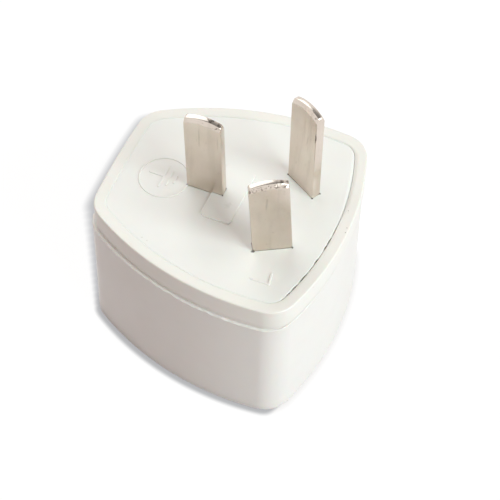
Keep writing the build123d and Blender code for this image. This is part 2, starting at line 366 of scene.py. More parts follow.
# Lamps, in metres: direction, distance, size, strength and colour
LAMP_TARGET = Vector((0, 0, 0.014))
LAMPS = {
    "key": (Vector((-0.27, -0.97, 0.54)), 1.2, 0.7, 12.9, (0.865, 0.97, 1.0)),
    "second": (Vector((0.43, 0.58, 0.70)), 0.6, 0.55, 1.55, (0.95, 0.98, 1.0)),
}

# Camera: places in millimetres, roll in degrees, and the near and far limits in metres
CAMERA_SPOT = Vector((-173.28, -71.98, 260.93))
CAMERA_TARGET = Vector((-9.07, -7.435, 28.0))
CAMERA_ROLL = 1.42
CAMERA_CLIP = (0.01, 20)
FOCAL_PIXELS = 1844.0
IMAGE_PIXELS = 500.0
SENSOR = 36.0


def meet(centre_a, radius_a, centre_b, radius_b):
    """Where two circles cross, on the +X side."""
    gap = centre_b - centre_a
    along = (radius_a**2 - radius_b**2 + gap.length_squared) / (2 * gap.length)
    across = sqrt(radius_a**2 - along**2)
    foot = centre_a + gap.normalized() * along
    turn = Vector((-gap.y, gap.x)).normalized() * across
    return max(foot + turn, foot - turn, key=lambda point: point.x)


def bearing(start, end):
    """Angle of the line from one point to another."""
    return atan2(end.y - start.y, end.x - start.x)


def walk_outline():
    """Points evenly along the body's outline, each with its outward normal."""
    wide = Vector((0, -BODY_LENGTH / 2 + WIDE_ARC))
    narrow = Vector((0, BODY_LENGTH / 2 - NARROW_ARC))
    side = Vector((BODY_WIDTH / 2 - SIDE_ARC, -BODY_LENGTH / 2 + WIDEST_FROM_WIDE_END))
    low = meet(wide, WIDE_ARC - CORNER, side, SIDE_ARC - CORNER)
    high = meet(narrow, NARROW_ARC - CORNER, side, SIDE_ARC - CORNER)
    turns = [bearing(wide, low), bearing(side, low), bearing(side, high), bearing(narrow, high)]
    turns = [-pi / 2, *turns, pi / 2]
    arcs = [(wide, WIDE_ARC), (low, CORNER), (side, SIDE_ARC), (high, CORNER), (narrow, NARROW_ARC)]
    right = [(*arc, start, end) for arc, start, end in zip(arcs, turns, turns[1:])]
    left = [
        (Vector((-centre.x, centre.y)), radius, pi - end, pi - start)
        for centre, radius, start, end in reversed(right)
    ]
    points = []
    for centre, radius, start, end in right + left:
        count = max(ceil(radius * (end - start) / SPACING), 2)
        for index in range(count):
            angle = start + (end - start) * index / count
            normal = Vector((cos(angle), sin(angle)))
            points.append((centre + radius * normal, normal))
    return points


OUTLINE = walk_outline()


def ripple(spot, size, seed):
    """Smooth random value from -1 to 1 that changes over about the given distance."""
    return noise.noise(Vector((spot.x / size, spot.y / size, seed)))


def wide_end(point, part):
    """1 over one part of the outline's wide end, and 0 elsewhere."""
    middle, half_length = part
    return exp(-(((point.x - middle) / half_length) ** 4)) if point.y < WIDE_END_Y else 0.0


def ring(bm, seat, inset, height, ragged=0.0, lift=0.0, seed=0.0, chips=0.0, groove=(0.0, 0.0)):
    """One closed loop of vertices that follows the outline, with an uneven edge where asked."""
    verts = []
    for point, normal in OUTLINE:
        rough = 0.6 * ripple(point, FINE_WAVE, seed) + 0.4 * ripple(point, LONG_WAVE, seed + 7)
        broken = min(max(0.5 + 3 * ripple(point, CHIP_WAVE, CHIP_SEED), 0), 1)
        chipped = chips * wide_end(point, CHIPPED_PART) * broken
        grooved = wide_end(point, GROOVED_PART)
        depth = inset + ragged * rough + chipped + groove[0] * grooved
        spot = point - normal * depth + seat
        rise = height + lift * ripple(point, LIFT_WAVE, seed + 3) - groove[1] * grooved
        verts.append(bm.verts.new((spot.x, spot.y, rise)))
    return verts


def loft(bm, rings):
    """Faces between each loop of vertices and the next."""
    for low, high in zip(rings, rings[1:]):
        count = len(low)
        for index in range(count):
            after = (index + 1) % count
            bm.faces.new((low[index], low[after], high[after], high[index]))


def cap(bm, loop):
    """Flat end inside a loop of vertices."""
    for corners in geometry.tessellate_polygon([[vert.co for vert in loop]]):
        bm.faces.new([loop[index] for index in corners])


def quarter(inset, height, radius, steps, rising=True):
    """(inset, height) pairs round an outer edge, up from a flat base or else up to a flat top."""
    pairs = []
    for step in range(steps + 1):
        angle = pi / 2 * step / steps
        if rising:
            pairs.append((inset + radius * (1 - sin(angle)), height + radius * (1 - cos(angle))))
        else:
            pairs.append((inset + radius * (1 - cos(angle)), height - radius * (1 - sin(angle))))
    return pairs


def finish_mesh(bm, name, sharp_angle=SHARP_ANGLE):
    """Object from a mesh drawn in millimetres, with smooth faces between its sharp edges."""
    bmesh.ops.remove_doubles(bm, verts=bm.verts, dist=MERGE_DISTANCE)
    bmesh.ops.recalc_face_normals(bm, faces=bm.faces)
    mesh = bpy.data.meshes.new(name)
    bm.to_mesh(mesh)
    bm.free()
    mesh.transform(Matrix.Scale(MM, 4))
    obj = bpy.data.objects.new(name, mesh)
    bpy.context.scene.collection.objects.link(obj)
    smooth(obj, sharp_angle)
    return obj


def smooth(obj, sharp_angle):
    """Smooth shading, apart from edges sharper than the given angle."""
    obj.data.shade_smooth()
    obj.data.set_sharp_from_angle(angle=radians(sharp_angle))


def combine(obj, tool, operation, sharp_angle=SHARP_ANGLE):
    """Joins a tool solid to an object or cuts it out, and removes the tool."""
    step = obj.modifiers.new(operation, "BOOLEAN")
    step.object = tool
    step.operation = operation
    step.solver = "EXACT"
    depsgraph = bpy.context.evaluated_depsgraph_get()
    mesh = bpy.data.meshes.new_from_object(obj.evaluated_get(depsgraph))
    obj.modifiers.clear()
    old = obj.data
    obj.data = mesh
    mesh.name = obj.name
    bpy.data.meshes.remove(old)
    bpy.data.meshes.remove(tool.data)
    smooth(obj, sharp_angle)


def rounded_rectangle(size, corner, steps=6):
    """Points round a rectangle with rounded corners."""
    points = []
    for quadrant, (side_x, side_y) in enumerate([(1, 1), (-1, 1), (-1, -1), (1, -1)]):
        centre = Vector((side_x * (size[0] / 2 - corner), side_y * (size[1] / 2 - corner)))
        for step in range(steps + 1):
            angle = pi / 2 * (quadrant + step / steps)
            points.append(centre + corner * Vector((cos(angle), sin(angle))))
    return points


def circle_points(radius, count=48):
    """Points round a circle."""
    angles = [2 * pi * index / count for index in range(count)]
    return [radius * Vector((cos(angle), sin(angle))) for angle in angles]


def flat_loop(bm, points, height, middle=Vector((0, 0))):
    """Loop of vertices at one height, from points round a middle."""
    return [bm.verts.new((*(point + middle), height)) for point in points]


def prism(name, layers, place=Matrix.Identity(4)):
    """Closed solid through layers of (points, height), each with as many points."""
    bm = bmesh.new()
    rings = []
    for points, height in layers:
        rings.append([bm.verts.new(place @ Vector((point.x, point.y, height))) for point in points])
    loft(bm, rings)
    cap(bm, rings[0])
    cap(bm, rings[-1])
    return finish_mesh(bm, name)


def grown(points, amount):
    """Convex outline pushed outwards by an even distance."""
    result = []
    count = len(points)
    for index, point in enumerate(points):
        before = (point - points[index - 1]).normalized()
        after = (points[(index + 1) % count] - point).normalized()
        outward = Vector((before.y + after.y, -before.x - after.x)).normalized()
        slant = max(outward.dot(Vector((before.y, -before.x))), 0.5)
        result.append(point + outward * amount / slant)
    return result


def at(spot, turn=0.0):
    """Placement at a point of the plan, turned by an angle in degrees."""
    return Matrix.Translation((spot.x, spot.y, 0)) @ Matrix.Rotation(radians(turn), 4, "Z")


def make_housing():
    """Deep cup with the socket face, its openings and three contact pockets."""
    bm = bmesh.new()
    seat = HOUSING_SEAT
    base = quarter(-HOUSING_PROUD, 0, BASE_ROUND, BASE_ROUND_STEPS)
    rings = [ring(bm, seat, base[0][0] + BASE_LAND, 0)]
    rings += [ring(bm, seat, inset, height) for inset, height in base]
    wall = WALL_DRAFT - HOUSING_PROUD
    for height in WALL_HEIGHTS:
        rings.append(ring(bm, seat, wall, height, WALL_WAVE, seed=WALL_SEED * height))
    for inset, height, ragged, lift in LEDGE:
        rings.append(ring(bm, seat, inset - HOUSING_PROUD, PARTING + height, ragged, lift, LEDGE_SEED))
    for inset, height in [
        (SHELF_INSET, HOUSING_TOP),
        (WALL_INSET, HOUSING_TOP),
        (WALL_INSET, FACE_THICKNESS),
    ]:
        rings.append(ring(bm, seat, inset, height))
    loft(bm, rings)
    cap(bm, rings[0])
    cap(bm, rings[-1])
    housing = finish_mesh(bm, "housing")
    for limits in pocket_limits():
        combine(housing, pocket_tube(*limits), "UNION")
    for points, place in pin_openings():
        layers = [
            (grown(points, OPENING_LEAD - OPENING_START), OPENING_START),
            (grown(points, OPENING_LEAD), 0),
            (points, OPENING_LEAD),
            (points, FACE_THICKNESS + CUT_PAST),
        ]
        combine(housing, prism("opening", layers, place), "DIFFERENCE")
    return housing


def pocket_limits():
    """Inner limits of the three contact pockets, as low X, high X, low Y and high Y."""
    x, y = PATTERN
    near, far = POLE_POCKET
    low, high = y + POLE_Y - POCKET_HALF, y + POLE_Y + POCKET_HALF
    earth_low, earth_high = EARTH_POCKET
    return [
        (x + near, x + far, low, high),
        (x - far, x - near, low, high),
        (x - POCKET_HALF, x + POCKET_HALF, y + earth_low, y + earth_high),
    ]


def pocket_tube(low_x, high_x, low_y, high_y):
    """Open rectangular wall round one contact strip."""
    middle = Vector(((low_x + high_x) / 2, (low_y + high_y) / 2))
    inner = rounded_rectangle((high_x - low_x, high_y - low_y), POCKET_CORNER, steps=3)
    outer = grown(inner, POCKET_WALL)
    section = [(outer, POCKET_FOOT), (outer, POCKET_TOP), (inner, POCKET_TOP), (inner, POCKET_FOOT)]
    bm = bmesh.new()
    loft(bm, [flat_loop(bm, points, height, middle) for points, height in [*section, section[0]]])
    return finish_mesh(bm, "pocket")


def pin_openings():
    """Outline and place of each pin's cut through the socket face."""
    round_pin = circle_points(ROUND_PIN)
    flat_pin = rounded_rectangle(FLAT_PIN, FLAT_CORNER, steps=2)
    thick_pin = rounded_rectangle(THICK_PIN, THICK_CORNER, steps=4)
    cuts = []
    for side in (-1, 1):
        for kind, turn, points in [
            ("thick", 0, thick_pin),
            ("round", 0, round_pin),
            ("upright", 0, flat_pin),
            ("slanted", -SLANT * side, flat_pin),
        ]:
            cuts.append((points, at(PATTERN + Vector((side * POLE_X[kind], POLE_Y)), turn)))
    for kind, points in [
        ("thick", rounded_rectangle(THICK_EARTH_PIN, THICK_CORNER, steps=4)),
        ("round", round_pin),
        ("flat", rounded_rectangle(FLAT_EARTH_PIN, FLAT_CORNER, steps=2)),
    ]:
        cuts.append((points, at(PATTERN + Vector((0, EARTH_Y[kind])))))
    return cuts


def make_frame():
    """Narrow frame that closes the housing and holds the plate."""
    bm = bmesh.new()
    seat = FRAME_SEAT
    rings = []
    for inset, height, ragged, lift, seed in FRAME_FOOT:
        rings.append(ring(bm, seat, inset, PARTING + height, ragged, lift, seed))
    for height in FRAME_SIDE:
        rings.append(ring(bm, seat, 0.0, PARTING + height, WALL_WAVE, seed=FRAME_SEED))
    for inset, height in quarter(0, BODY_TOP, FRAME_ROUND, FRAME_ROUND_STEPS, rising=False):
        rings.append(ring(bm, seat, inset, height))
    for inset in RIM_FLAT:
        rings.append(ring(bm, seat, inset, BODY_TOP))
    for inset, drop, ragged, chips, groove in RIM_EDGE:
        place = (RIM_WIDTH - inset, BODY_TOP - drop, ragged)
        rings.append(ring(bm, seat, *place, seed=RIM_SEED, chips=chips, groove=groove))
    rings.append(ring(bm, seat, RIM_WIDTH, LIP_UNDER))
    rings.append(ring(bm, seat, FRAME_WALL, LIP_UNDER))
    rings.append(rings[0])
    loft(bm, rings)
    return finish_mesh(bm, "frame")


def blade_place(name):
    """Upright placement of a blade at its slot, X along its width."""
    blade = BLADES[name]
    angle = radians(blade["angle"])
    spot = PATTERN + blade["reach"] * Vector((cos(angle), sin(angle)))
    return at(spot, blade["turn"])


def leaning_place(name):
    """Placement of a blade above the plate, leaning from its slot."""
    place = blade_place(name)
    lean_x, lean_y = (radians(value) for value in BLADES[name]["lean"])
    lean = Matrix.Rotation(-lean_y, 4, "X") @ Matrix.Rotation(lean_x, 4, "Y")
    slot = place.to_translation() + Vector((0, 0, BODY_TOP))
    return Matrix.Translation(slot) @ lean @ place.to_3x3().to_4x4()


def slot_outline(name, gap, notch):
    """Outline of a blade's slot, with a small uneven notch at each corner."""
    half_x, half_y = BLADE_WIDTH / 2 + gap, BLADE_THICK / 2 + gap
    seed = BLADES[name]["reach"] + BLADES[name]["angle"]
    points = []
    for quadrant, (side_x, side_y) in enumerate([(1, 1), (-1, 1), (-1, -1), (1, -1)]):
        for step in range(NOTCH_STEPS + 1):
            angle = pi / 2 * quadrant - pi / 4 + pi * step / NOTCH_STEPS
            wobble = NOTCH_WOBBLE * noise.noise(Vector((seed, quadrant, step * NOTCH_WAVE)))
            reach = notch * (1 + wobble)
            x = side_x * half_x + reach * cos(angle)
            y = side_y * half_y + reach * sin(angle)
            points.append(Vector((x, y)))
    return points


def slot_cutter(name):
    """Solid that cuts one blade's slot, tight at the plate's face and wider below it."""
    wide = slot_outline(name, *SLOT_WIDE)
    tight = slot_outline(name, *SLOT_TIGHT)
    layers = [
        (wide, PLATE_UNDER - CUT_PAST),
        (wide, PLATE_TOP - SLOT_TAPER[0]),
        (tight, PLATE_TOP - SLOT_TAPER[1]),
        (tight, PLATE_TOP + CUT_PAST),
    ]
    return prism("slot", layers, blade_place(name))


def stroke(start, end, width):
    """Outline of a straight stroke with round ends, and its place."""
    along = end - start
    points = []
    for side, turn in ((1, -pi / 2), (-1, pi / 2)):
        for step in range(STROKE_STEPS + 1):
            angle = turn + pi * step / STROKE_STEPS
            away = width / 2 * Vector((cos(angle), sin(angle)))
            points.append(Vector((side * along.length / 2, 0)) + away)
    middle = (start + end) / 2
    return points, at(middle, degrees(atan2(along.y, along.x)))


def raised_ring(spot, radius, width, height):
    """Raised circle with a soft top, sunk a little into the plate."""
    top = [(-0.5, 0.5 * height), (-0.25, height), (0.25, height), (0.5, 0.5 * height)]
    bm = bmesh.new()
    loops = []
    for across, rise in [(-0.5, -MARK_SUNK), *top, (0.5, -MARK_SUNK)]:
        points = circle_points(radius + across * width, SYMBOL_RING_STEPS)
        loops.append(flat_loop(bm, points, PLATE_TOP + rise, spot))
    loft(bm, [*loops, loops[0]])
    return finish_mesh(bm, "ring")


def raised(name, points, place, height):
    """Raised mark with soft top edges, sunk a little into the plate."""
    layers = [
        (points, PLATE_TOP - MARK_SUNK),
        (points, PLATE_TOP + height - MARK_EDGE),
        (grown(points, -MARK_EDGE), PLATE_TOP + height),
    ]
    return prism(name, layers, place)


def make_plate():
    """Plate set in the frame, with its slots, raised panel and marks."""
    bm = bmesh.new()
    seat = PLATE_SEAT
    rings = [
        ring(bm, seat, PLATE_SIDE, PARTING),
        ring(bm, seat, PLATE_SIDE, LIP_UNDER),
        ring(bm, seat, PLATE_INSET, LIP_UNDER),
    ]
    for inset, drop, ragged, chips, groove in PLATE_EDGE:
        place = (PLATE_INSET + inset, PLATE_TOP - drop, ragged)
        rings.append(ring(bm, seat, *place, seed=PLATE_SEED, chips=chips, groove=groove))
    loft(bm, rings)
    under = [
        ring(bm, seat, SKIRT_INNER, PLATE_UNDER),
        ring(bm, seat, SKIRT_INNER, SKIRT_FOOT),
        ring(bm, seat, SKIRT_OUTER, SKIRT_FOOT),
        ring(bm, seat, SKIRT_OUTER, PARTING),
    ]
    loft(bm, [*under, rings[0]])
    cap(bm, rings[-1])
    cap(bm, under[0])
    plate = finish_mesh(bm, "plate")
    panel = rounded_rectangle(PANEL_SIZE, PANEL_CORNER)
    combine(plate, raised("panel", panel, at(PANEL_SPOT), PANEL_HEIGHT), "UNION")
    for start, end in TERMINAL_STROKES:
        letter = raised("stroke", *stroke(start, end, TERMINAL_WIDTH), MARK_HEIGHT)
        combine(plate, letter, "UNION")
    circle = raised_ring(SYMBOL_SPOT, SYMBOL_RADIUS, SYMBOL_RING_WIDTH, MARK_HEIGHT)
    combine(plate, circle, "UNION")
    for start, end in SYMBOL_STROKES:
        outline = stroke(SYMBOL_SPOT + start, SYMBOL_SPOT + end, SYMBOL_WIDTH)
        combine(plate, raised("stroke", *outline, MARK_HEIGHT), "UNION")
    for name in BLADES:
        combine(plate, slot_cutter(name), "DIFFERENCE")
    return plate


def tip_height(x):
    """Height of a blade's domed end at a distance from its middle line."""
    half = BLADE_WIDTH / 2
    radius = (half**2 + TIP_DOME**2) / (2 * TIP_DOME)
    height = BLADE_LENGTH - radius + sqrt(radius**2 - x**2)
    over = max(abs(x) - (half - TIP_CORNER), 0)
    return height - TIP_CORNER + sqrt(TIP_CORNER**2 - min(over, TIP_CORNER) ** 2)


def blade_half_thickness(x, below_tip, seed, hammer):
    """Half the blade's thickness, less its tip bevel, rounded sides and small dents."""
    half = BLADE_THICK / 2
    bevel_length, bevel_depth = TIP_BEVEL
    if below_tip < bevel_length:
        share = below_tip / bevel_length
        hammered = noise.noise(Vector((x / HAMMER_SIZE[0], below_tip / HAMMER_SIZE[1], seed)))
        half -= bevel_depth * (1 - share) + hammer * hammered * sin(pi * share)
        near_top = max(1 - below_tip / TIP_ROUND, 0)
        half -= TIP_ROUND * (1 - sqrt(1 - near_top**2))
    side = BLADE_WIDTH / 2 - abs(x)
    if side < SIDE_ROUND:
        half -= SIDE_ROUND - sqrt(SIDE_ROUND**2 - (SIDE_ROUND - side) ** 2)
    across = (x - LINE_ACROSS[0]) / LINE_ACROSS[1]
    along = (below_tip - LINE_BELOW[0]) / LINE_BELOW[1]
    return half - LINE_DEPTH * exp(-(across**2)) * exp(-(along**4))


def blade_columns():
    """Distances from a blade's middle line at which its faces are drawn."""
    half = BLADE_WIDTH / 2
    inner = half - FACE_MARGIN
    columns = [-half + step for step in EDGE_STEPS]
    columns += [-inner + 2 * inner * index / FACE_STEPS for index in range(FACE_STEPS + 1)]
    return columns + [half - step for step in reversed(EDGE_STEPS)]


def blade_sheet(bm, side, seed, hammer):
    """Rows of vertices over one face of an upright blade, from its tip down to its bend."""
    columns = blade_columns()
    tips = [tip_height(x) for x in columns]
    levels = [[tip - drop for tip in tips] for drop in TIP_DROPS]
    starts = levels[-1]
    for step in range(1, LOWER_ROWS + 1):
        levels.append([start + (-BEND_DEPTH - start) * step / LOWER_ROWS for start in starts])
    rows = []
    for level in levels:
        rows.append([])
        for x, tip, height in zip(columns, tips, level):
            thick = blade_half_thickness(x, tip - height, seed + side, hammer)
            rows[-1].append(bm.verts.new((x, side * thick, height)))
    return rows


def border(rows):
    """Vertices round the edge of a sheet of rows."""
    down = [row[-1] for row in rows[1:]]
    up = [row[0] for row in rows[-2:0:-1]]
    return rows[0] + down + rows[-1][-2::-1] + up


def make_blade(name, seed):
    """Flat blade with a domed, bevelled tip that leans from its slot, on a straight root."""
    bm = bmesh.new()
    sheets = [blade_sheet(bm, side, seed, BLADES[name]["hammer"]) for side in (-1, 1)]
    for rows in sheets:
        for upper, lower in zip(rows, rows[1:]):
            for index in range(len(upper) - 1):
                bm.faces.new((upper[index], upper[index + 1], lower[index + 1], lower[index]))
    loft(bm, [border(rows) for rows in sheets])
    bm.transform(leaning_place(name))
    blade = finish_mesh(bm, name + "_pin", BLADE_SHARP)
    for part, width, top in [
        ("neck", BLADE_WIDTH, NECK_TOP),
        ("shoulder", SHOULDER_WIDTH, SHOULDER_TOP),
    ]:
        outline = rounded_rectangle((width, BLADE_THICK), ROOT_CORNER, steps=2)
        root = prism(part, [(outline, ROOT_BOTTOM), (outline, top)], blade_place(name))
        combine(blade, root, "UNION", BLADE_SHARP)
    return blade


class Nodes:
    """The node tree of a material or a world, with a short call for each new node."""

    def __init__(self, owner):
        self.owner = owner
        owner.use_nodes = True
        self.tree = owner.node_tree
        self.tree.nodes.clear()

    def add(self, kind, inputs=None, **settings):
        """New node with its inputs linked or set, and its settings."""
        node = self.tree.nodes.new("ShaderNode" + kind)
        for key, value in settings.items():
            setattr(node, key, value)
        for key, value in (inputs or {}).items():
            if isinstance(value, bpy.types.NodeSocket):
                self.tree.links.new(value, node.inputs[key])
            else:
                node.inputs[key].default_value = value
        return node

    def place(self, stretch=(1, 1, 1), turn=(0, 0, 0)):
        """Object coordinates in metres, stretched along each axis."""
        coords = self.add("TexCoord").outputs["Object"]
        return self.add("Mapping", {"Vector": coords, "Scale": stretch, "Rotation": turn}).outputs[0]

    def noise(self, scale, detail=3, stretch=(1, 1, 1), turn=(0, 0, 0), rough=0.5):
        """Noise whose features repeat about once in 1/scale metres."""
        place = self.place(stretch, turn)
        inputs = {"Vector": place, "Scale": scale, "Detail": detail, "Roughness": rough}
        return self.add("TexNoise", inputs).outputs["Fac"]

    def span(self, value, low, high, to_low=0.0, to_high=1.0):
        """Value stretched from one range to another and clamped."""
        inputs = {"Value": value, "From Min": low, "From Max": high, "To Min": to_low, "To Max": to_high}
        return self.add("MapRange", inputs).outputs[0]

    def math(self, operation, first, second=0.0):
        """Result of one sum."""
        return self.add("Math", {0: first, 1: second}, operation=operation).outputs[0]

    def mix(self, factor, first, second):
        """Colour between two others."""
        node = self.add("Mix", {"Factor": factor}, data_type="RGBA")
        for socket, value in ((6, first), (7, second)):
            if isinstance(value, bpy.types.NodeSocket):
                self.tree.links.new(value, node.inputs[socket])
            else:
                node.inputs[socket].default_value = (*value, 1)
        return node.outputs[2]

    def multiply(self, first, second):
        """Product of two colours or vectors."""
        return self.add("VectorMath", {0: first, 1: second}, operation="MULTIPLY").outputs[0]

    def bump(self, height, distance, strength, normal=None):
        """Bump of the given depth in metres, on top of another."""
        inputs = {"Height": height, "Distance": distance, "Strength": strength}
        if normal:
            inputs["Normal"] = normal
        return self.add("Bump", inputs).outputs[0]

    def largest(self, values):
        """The largest of several masks."""
        result = values[0]
        for value in values[1:]:
            result = self.math("MAXIMUM", result, value)
        return result

    def spot(self, centre, size):
        """Mask of a mark about a point, with the given half sizes, both in millimetres."""
        coords = self.add("TexCoord").outputs["Object"]
        inputs = {0: coords, 1: Vector(centre) * MM}
        away = self.add("VectorMath", inputs, operation="SUBTRACT").outputs[0]
        away = self.multiply(away, [1 / (value * MM) for value in size])
        distance = self.add("VectorMath", {0: away}, operation="LENGTH").outputs["Value"]
        wobble = self.span(self.noise(scale=2500), 0.3, 0.7, -SPOT_WOBBLE, SPOT_WOBBLE)
        return self.span(self.math("ADD", distance, wobble), 0.6, 1.1, 1.0, 0.0)

    def close(self, **inputs):
        """Principled shader on the output, with its inputs given by name."""
        named = {key.replace("_", " "): value for key, value in inputs.items()}
        shader = self.add("BsdfPrincipled", named)
        self.add("OutputMaterial", {"Surface": shader.outputs[0]})
        return self.owner


def plastic(name, colour, shade, roughness, marks):
    """Moulded plastic with faint flow marks, scuffs, fine grain, specks, and spots of stain and of
    painted shade.
    """
    nodes = Nodes(bpy.data.materials.new(name))
    flow = nodes.noise(scale=70, detail=2, stretch=(1, 1, 0.4))
    cloud = nodes.noise(scale=320, detail=4)
    base = nodes.mix(nodes.span(flow, 0.3, 0.7), colour, shade)
    duller = tuple(value * 0.94 for value in colour)
    base = nodes.mix(nodes.span(cloud, 0.45, 0.8, 0, 0.25), base, duller)
    cells = nodes.add("TexVoronoi", {"Vector": nodes.place(), "Scale": 210.0})
    speck = nodes.span(cells.outputs["Distance"], 0.016, 0.028, 1, 0)
    chosen = nodes.span(cells.outputs["Color"], 0.8, 0.82)
    speck = nodes.math("MULTIPLY", speck, chosen)
    base = nodes.mix(nodes.math("MULTIPLY", speck, 0.5), base, FINE_SPECK)
    # Each mark is a stain, or painted shade at the slot corners and the gate
    for spots, strength, stain_and_painted_dark in marks:
        mask = nodes.largest([nodes.spot(centre, size) for centre, size in spots])
        base = nodes.mix(nodes.math("MULTIPLY", mask, strength), base, stain_and_painted_dark)
    scuff = nodes.noise(scale=60, detail=5, stretch=(1, 14, 2), turn=(0.2, 0.1, 0.9), rough=0.7)
    scuff = nodes.span(scuff, 0.6, 0.75)
    patches = nodes.noise(scale=150, detail=4)
    rough = nodes.span(patches, 0.3, 0.7, roughness - 0.06, roughness + 0.06)
    rough = nodes.math("ADD", rough, nodes.math("MULTIPLY", scuff, 0.1))
    wave = nodes.bump(nodes.noise(scale=110, detail=2), 0.00012, 0.5)
    grain = nodes.bump(nodes.noise(scale=2600, detail=3), 0.00001, 0.5, wave)
    scratch = nodes.bump(scuff, 0.000006, 0.6, grain)
    return nodes.close(
        Base_Color=base, Roughness=rough, Normal=scratch, IOR=1.49, Subsurface_Weight=0.12,
        Subsurface_Scale=0.0012, Coat_Weight=0.08, Coat_Roughness=0.25,
    )


def plated(name, turn, marks):
    """Worn nickel plating with marks drawn along the blade, smudges, pits, and painted dark reflections
    and shade.
    """
    nodes = Nodes(bpy.data.materials.new(name))
    drawn = nodes.noise(scale=260, detail=3, stretch=(2.6, 2.6, 0.25), turn=(0, 0, turn))
    smudge = nodes.noise(scale=190, detail=4, rough=0.6)
    pits = nodes.noise(scale=2400, detail=3)
    base = nodes.mix(nodes.span(smudge, 0.32, 0.68), NICKEL, NICKEL_SHADE)
    duller = tuple(value * 0.82 for value in NICKEL_SHADE)
    base = nodes.mix(nodes.span(drawn, 0.55, 0.7, 0, 0.3), base, duller)
    base = nodes.mix(nodes.span(pits, 0.66, 0.74, 0, 0.35), base, PIT)
    for spots, weak, strong, stain_and_painted_dark in marks:
        mask = nodes.largest([nodes.spot(centre, size) for centre, size in spots])
        broken = nodes.span(nodes.noise(scale=3200, detail=2), 0.44, 0.56, weak, strong)
        base = nodes.mix(nodes.math("MULTIPLY", mask, broken), base, stain_and_painted_dark)
    rough = nodes.span(drawn, 0.3, 0.7, NICKEL_ROUGHNESS - 0.04, NICKEL_ROUGHNESS + 0.06)
    wave = nodes.bump(nodes.noise(scale=180, detail=2), 0.00005, 0.4)
    lines = nodes.bump(drawn, 0.000006, 0.5, wave)
    grain = nodes.bump(pits, 0.000004, 0.5, lines)
    return nodes.close(Base_Color=base, Metallic=1.0, Roughness=rough, Normal=grain)


def brass(name):
    """Bright pressed brass with a light tarnish."""
    nodes = Nodes(bpy.data.materials.new(name))
    tarnish = nodes.span(nodes.noise(scale=400, detail=4), 0.4, 0.7)
    base = nodes.mix(tarnish, BRASS, TARNISH)
    rough = nodes.span(nodes.noise(scale=900, detail=3), 0.3, 0.7, 0.24, 0.4)
    grain = nodes.bump(nodes.noise(scale=3000, detail=3, stretch=(1, 1, 0.2)), 0.000008, 0.5)
    return nodes.close(Base_Color=base, Metallic=1.0, Roughness=rough, Normal=grain)


def paint(obj, material):
    """One material over the whole piece."""
    obj.data.materials.clear()
    obj.data.materials.append(material)


def add_piece(obj, node, material):
    """Paints a piece, hangs it under the root body, and hides the node of the frame that it stands for.
    """
    paint(obj, material)
    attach(obj, "root")
    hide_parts(node)


def on_blade(name, x, side, height):
    """Point on a blade's face (side -1 or 1) or middle (0) at a height above the plate."""
    return leaning_place(name) @ Vector((x, side * BLADE_THICK / 2, height))


def slot_corner_shade():
    """Painted shade at the corners of each slot."""
    spots = []
    for name in BLADES:
        place = blade_place(name)
        for x in (-1, 1):
            for side in (-1, 1):
                corner = place @ Vector((x * BLADE_WIDTH / 2, side * BLADE_THICK / 2, PLATE_TOP))
                worst = name == "line" and x == 1 and side == 1
                size = SLOT_SHADE_WORST if worst else SLOT_SHADE_SIZE
                spots.append((corner, (size, size, SLOT_SHADE_HEIGHT)))
    return spots


def build_adapter():
    """Every piece of the adapter, each with its material."""
    rim_specks = [(Vector((*spot, BODY_TOP)), RIM_SPECK_SIZE) for spot in RIM_SPECKS]
    wall_specks = [(Vector(spot), WALL_SPECK_SIZE) for spot in WALL_SPECKS]
    # The gate mark is painted as the shade of a shallow dent
    gate_dent_shade = [(Vector((*GATE_MARK, PLATE_TOP)), GATE_SIZE)]
    marks = {
        "housing": [(wall_specks, 0.6, SPECK_BROWN)],
        "frame": [(rim_specks, 0.7, SPECK_BROWN)],
        "plate": [(rim_specks, 0.7, SPECK_BROWN), (slot_corner_shade(), 0.8, SLOT_SHADE_TONE), (gate_dent_shade, 0.16, GATE_DENT_SHADE)],
    }
    ivory = {part: plastic(part + "_ivory", *IVORIES[part], marks[part]) for part in IVORIES}
    add_piece(make_housing(), "socket_housing", ivory["housing"])
    add_piece(make_frame(), "collar_frame", ivory["frame"])
    add_piece(make_plate(), "pin_plate", ivory["plate"])
    for index, name in enumerate(BLADES):
        marks = []
        for table, weak, strong, tone in BLADE_MARKS:
            spots = [(on_blade(name, *place), size) for *place, size in table[name]]
            marks.append((spots, weak, strong, tone))
        nickel = plated(name + "_nickel", radians(BLADES[name]["turn"]), marks)
        add_piece(make_blade(name, HAMMER_SEED * index), name + "_blade", nickel)
    strip = brass("contact_brass")
    for name in BLADES:
        paint(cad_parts[name + "_contact"], strip)
        paint(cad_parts[name + "_rivet"], strip)


def outline_distance(nodes, point):
    """Distance of a point of the plan from the body's outline, in millimetres."""
    far = None
    for x, y, radius in OUTLINE_CIRCLES:
        away = nodes.add("VectorMath", {0: point, 1: (x, y, 0)}, operation="DISTANCE").outputs["Value"]
        away = nodes.math("SUBTRACT", away, radius)
        if far is not None:
            inputs = {0: far, 1: away, 2: CORNER_BLEND}
            away = nodes.add("Math", inputs, operation="SMOOTH_MAX").outputs[0]
        far = away
    return far


